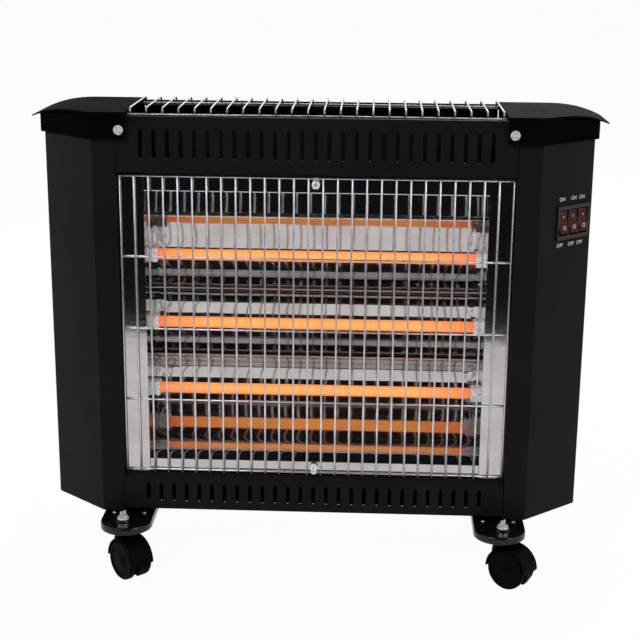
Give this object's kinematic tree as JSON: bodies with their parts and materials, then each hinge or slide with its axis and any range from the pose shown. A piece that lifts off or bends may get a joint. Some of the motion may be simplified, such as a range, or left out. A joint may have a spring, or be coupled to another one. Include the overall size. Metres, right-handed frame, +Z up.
{
  "type": "quartz heater",
  "caption": "Free-standing quartz heater with glowing tubes in a polished reflector, wire guard, black sheet body, rocker switches and swivel casters.",
  "frame": {"origin": "middle of the footprint, on the floor under the wheels", "axes": "+Z up, front of the heater faces -Y, +X to the right seen from the front"},
  "size_m": [0.632, 0.2464, 0.5175],
  "materials": {
    "body_paint": "semi-gloss black powder coat",
    "cap_plastic": "satin moulded black",
    "black_plastic": "moulded black",
    "bright_wire": "bright plated round wire",
    "reflector_sheet": "polished sheet",
    "quartz": "satin quartz, lit from inside",
    "heater_wire": "wound resistance wire, hot",
    "ceramic": "unglazed white ceramic",
    "rocker_red": "dark translucent red",
    "zinc_steel": "bright zinc plate",
    "plain_steel": "plain galvanised sheet and pins",
    "foot_plastic": "gloss black",
    "caster_plastic": "moulded black nylon",
    "wheel_plastic": "moulded black nylon"
  },
  "bodies": {
    "heater_body": {"left_side_housing": "body_paint", "right_side_housing": "body_paint", "upper_fascia": "body_paint", "lower_fascia": "body_paint", "base_pan": "body_paint", "back_panel": "body_paint", "cable_gland": "black_plastic", "terminal_block": "ceramic", "heat_shield": "plain_steel", "left_top_cap": "cap_plastic", "right_top_cap": "cap_plastic", "cap_screw_left": "zinc_steel", "cap_screw_right": "zinc_steel", "front_guard": "bright_wire", "top_grille": "bright_wire", "guard_clip_top": "zinc_steel", "guard_clip_bottom": "zinc_steel", "reflector": "reflector_sheet", "left_trim_plate": "reflector_sheet", "right_trim_plate": "reflector_sheet", "quartz_tube_1": "quartz", "heating_coil_1": "heater_wire", "tube_holder_1_left": "ceramic", "tube_holder_1_right": "ceramic", "quartz_tube_2": "quartz", "heating_coil_2": "heater_wire", "tube_holder_2_left": "ceramic", "tube_holder_2_right": "ceramic", "quartz_tube_3": "quartz", "heating_coil_3": "heater_wire", "tube_holder_3_left": "ceramic", "tube_holder_3_right": "ceramic", "switch_bezel": "black_plastic", "foot_plate_fl": "foot_plastic", "stem_nut_fl": "zinc_steel", "foot_plate_fr": "foot_plastic", "stem_nut_fr": "zinc_steel", "foot_plate_rl": "foot_plastic", "stem_nut_rl": "zinc_steel", "foot_plate_rr": "foot_plastic", "stem_nut_rr": "zinc_steel"},
    "swivel_fl": {"caster_hood_fl": "caster_plastic", "caster_axle_fl": "plain_steel"},
    "wheel_fl_a": {"caster_wheel_fl_a": "wheel_plastic"},
    "wheel_fl_b": {"caster_wheel_fl_b": "wheel_plastic"},
    "swivel_fr": {"caster_hood_fr": "caster_plastic", "caster_axle_fr": "plain_steel"},
    "wheel_fr_a": {"caster_wheel_fr_a": "wheel_plastic"},
    "wheel_fr_b": {"caster_wheel_fr_b": "wheel_plastic"},
    "swivel_rl": {"caster_hood_rl": "caster_plastic", "caster_axle_rl": "plain_steel"},
    "wheel_rl_a": {"caster_wheel_rl_a": "wheel_plastic"},
    "wheel_rl_b": {"caster_wheel_rl_b": "wheel_plastic"},
    "swivel_rr": {"caster_hood_rr": "caster_plastic", "caster_axle_rr": "plain_steel"},
    "wheel_rr_a": {"caster_wheel_rr_a": "wheel_plastic"},
    "wheel_rr_b": {"caster_wheel_rr_b": "wheel_plastic"},
    "rocker_1": {"rocker_1": "rocker_red"},
    "rocker_2": {"rocker_2": "rocker_red"},
    "rocker_3": {"rocker_3": "rocker_red"}
  },
  "joints": [
    {"name": "caster_swivel_fl", "type": "hinge", "parent": "heater_body", "child": "swivel_fl", "pos_m": [-0.2102, -0.0858, 0.05], "axis": [0, 0, 1], "continuous": true},
    {"name": "wheel_roll_fl_a", "type": "hinge", "parent": "swivel_fl", "child": "wheel_fl_a", "pos_m": [-0.20147, -0.09516, 0.022], "axis": [0.7314, 0.682, 0], "continuous": true},
    {"name": "wheel_roll_fl_b", "type": "hinge", "parent": "swivel_fl", "child": "wheel_fl_b", "pos_m": [-0.20147, -0.09516, 0.022], "axis": [0.7314, 0.682, 0], "continuous": true},
    {"name": "caster_swivel_fr", "type": "hinge", "parent": "heater_body", "child": "swivel_fr", "pos_m": [0.2102, -0.0858, 0.05], "axis": [0, 0, 1], "continuous": true},
    {"name": "wheel_roll_fr_a", "type": "hinge", "parent": "swivel_fr", "child": "wheel_fr_a", "pos_m": [0.22042, -0.0935, 0.022], "axis": [0.6018, 0.7986, 0], "continuous": true},
    {"name": "wheel_roll_fr_b", "type": "hinge", "parent": "swivel_fr", "child": "wheel_fr_b", "pos_m": [0.22042, -0.0935, 0.022], "axis": [0.6018, 0.7986, 0], "continuous": true},
    {"name": "caster_swivel_rl", "type": "hinge", "parent": "heater_body", "child": "swivel_rl", "pos_m": [-0.2102, 0.0858, 0.05], "axis": [0, 0, 1], "continuous": true},
    {"name": "wheel_roll_rl_a", "type": "hinge", "parent": "swivel_rl", "child": "wheel_rl_a", "pos_m": [-0.22042, 0.0935, 0.022], "axis": [-0.6018, -0.7986, 0], "continuous": true},
    {"name": "wheel_roll_rl_b", "type": "hinge", "parent": "swivel_rl", "child": "wheel_rl_b", "pos_m": [-0.22042, 0.0935, 0.022], "axis": [-0.6018, -0.7986, 0], "continuous": true},
    {"name": "caster_swivel_rr", "type": "hinge", "parent": "heater_body", "child": "swivel_rr", "pos_m": [0.2102, 0.0858, 0.05], "axis": [0, 0, 1], "continuous": true},
    {"name": "wheel_roll_rr_a", "type": "hinge", "parent": "swivel_rr", "child": "wheel_rr_a", "pos_m": [0.20147, 0.09516, 0.022], "axis": [-0.7314, -0.682, 0], "continuous": true},
    {"name": "wheel_roll_rr_b", "type": "hinge", "parent": "swivel_rr", "child": "wheel_rr_b", "pos_m": [0.20147, 0.09516, 0.022], "axis": [-0.7314, -0.682, 0], "continuous": true},
    {"name": "rocker_1_tilt", "type": "hinge", "parent": "heater_body", "child": "rocker_1", "pos_m": [0.26191, -0.03718, 0.3978], "axis": [0.7516, 0.6596, 0], "range_deg": [0, 20]},
    {"name": "rocker_2_tilt", "type": "hinge", "parent": "heater_body", "child": "rocker_2", "pos_m": [0.27349, -0.02703, 0.3978], "axis": [0.7516, 0.6596, 0], "range_deg": [0, 20]},
    {"name": "rocker_3_tilt", "type": "hinge", "parent": "heater_body", "child": "rocker_3", "pos_m": [0.28506, -0.01687, 0.3978], "axis": [0.7516, 0.6596, 0], "range_deg": [0, 20]}
  ]
}
